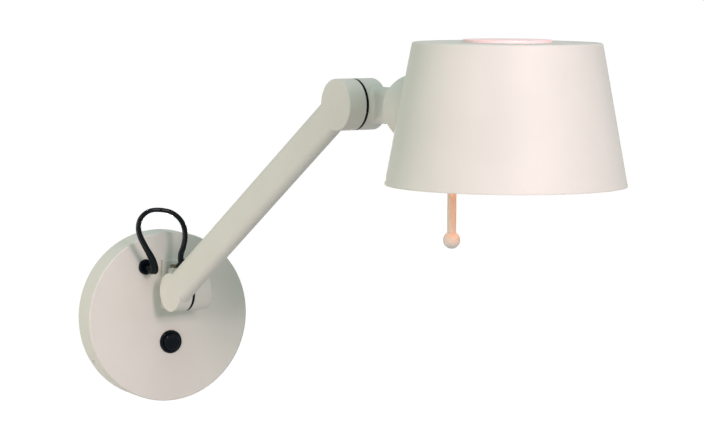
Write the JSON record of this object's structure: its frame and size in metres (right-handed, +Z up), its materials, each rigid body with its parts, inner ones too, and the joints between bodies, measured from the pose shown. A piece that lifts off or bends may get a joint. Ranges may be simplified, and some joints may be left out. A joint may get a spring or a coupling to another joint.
{
  "type": "articulating wall lamp",
  "caption": "Wall lamp with a round wall cover and push button, a swivelling flat-oval arm that tilts, an elbow, and a turning head with a tapered shade and handle",
  "frame": {"origin": "centre of the wall side of the round mounting plate, on the axis of the round supply hole", "axes": "+Y into the wall, -Y out into the room, +Z up, +X to the right for someone facing the wall"},
  "size_m": [0.2336, 0.5861, 0.3338],
  "materials": {
    "painted_steel": "pale greige powder coat, matt",
    "painted_aluminium": "pale greige powder coat, matt, over aluminium",
    "zinc_steel": "bright zinc plate",
    "black_steel": "blackened steel, satin",
    "black_plastic": "black moulding, semi-gloss",
    "black_rubber": "black, satin",
    "cord_jacket": "black flex jacket, satin",
    "white_moulding": "off-white moulding",
    "opal_plastic": "opal, lets light through",
    "bulb_glass": "frosted glass",
    "nickel": "nickel-plated brass"
  },
  "bodies": {
    "wall_base": {"wall_cover": "painted_steel", "mounting_plate": "zinc_steel", "plate_tabs": "zinc_steel", "cover_set_screws": "zinc_steel", "terminal_block": "white_moulding", "terminal_screws": "zinc_steel", "switch_bezel": "black_plastic", "switch_nut": "black_plastic", "switch_body": "black_plastic", "button_spring": "zinc_steel", "cable_gland": "black_plastic", "base_lead": "cord_jacket", "flex_base": "cord_jacket", "wall_bracket": "painted_steel", "backing_plate": "zinc_steel", "bracket_screws": "zinc_steel", "slip_washer": "black_plastic", "pivot_screw": "black_steel", "pivot_washer": "zinc_steel"},
    "button": {"push_button": "black_plastic"},
    "swivel": {"swivel_knuckle": "painted_aluminium", "lower_friction_ring": "black_plastic", "lower_disc_springs": "zinc_steel", "lower_end_plug": "painted_aluminium"},
    "arm": {"arm": "painted_aluminium", "lower_bolt": "zinc_steel", "elbow_bolt": "zinc_steel", "arm_grommet": "black_rubber", "arm_lead": "cord_jacket", "flex_arm": "cord_jacket"},
    "neck": {"head_yoke": "painted_aluminium", "elbow_friction_ring": "black_plastic", "elbow_disc_springs": "zinc_steel", "elbow_end_plug": "painted_aluminium", "ball_shell": "painted_aluminium", "ball_lid": "painted_aluminium", "nipple": "zinc_steel", "nipple_locknut": "zinc_steel", "head_washer": "black_steel", "head_springs": "zinc_steel", "head_nut": "zinc_steel", "neck_lead": "cord_jacket"},
    "head": {"shade_seat": "painted_aluminium", "shade": "painted_aluminium", "diffuser": "opal_plastic", "carrier_block": "zinc_steel", "holder_strap": "zinc_steel", "strap_screws": "zinc_steel", "rod_screw": "zinc_steel", "lampholder": "white_moulding", "holder_contact": "nickel", "bulb_cap": "nickel", "bulb_glass": "bulb_glass", "handle_rod": "painted_aluminium", "handle_ball": "painted_aluminium"}
  },
  "joints": [
    {"name": "button_press", "type": "slide", "parent": "wall_base", "child": "button", "axis": [0, 1, 0], "range_m": [0, 0.002], "stiffness_N_per_m": 800, "springref_m": -0.001, "deforming": ["button_spring"]},
    {"name": "swivel_turn", "type": "hinge", "parent": "wall_base", "child": "swivel", "pos_m": [0, -0.037, 0.03], "axis": [0, 0, 1], "range_deg": [-52, 43], "deforming": ["flex_base"]},
    {"name": "arm_tilt", "type": "hinge", "parent": "swivel", "child": "arm", "pos_m": [0.00272, -0.05913, 0.026], "axis": [-0.9925, -0.1219, 0], "range_deg": [-94.3, 50.7], "deforming": ["flex_arm"]},
    {"name": "elbow_tilt", "type": "hinge", "parent": "arm", "child": "neck", "pos_m": [0.03418, -0.31537, 0.2021], "axis": [-0.9925, -0.1219, 0], "range_deg": [-90, 90]},
    {"name": "head_turn", "type": "hinge", "parent": "neck", "child": "head", "pos_m": [0.05402, -0.38386, 0.2021], "axis": [0.1219, -0.9925, 0], "range_deg": [-90, 90]}
  ]
}
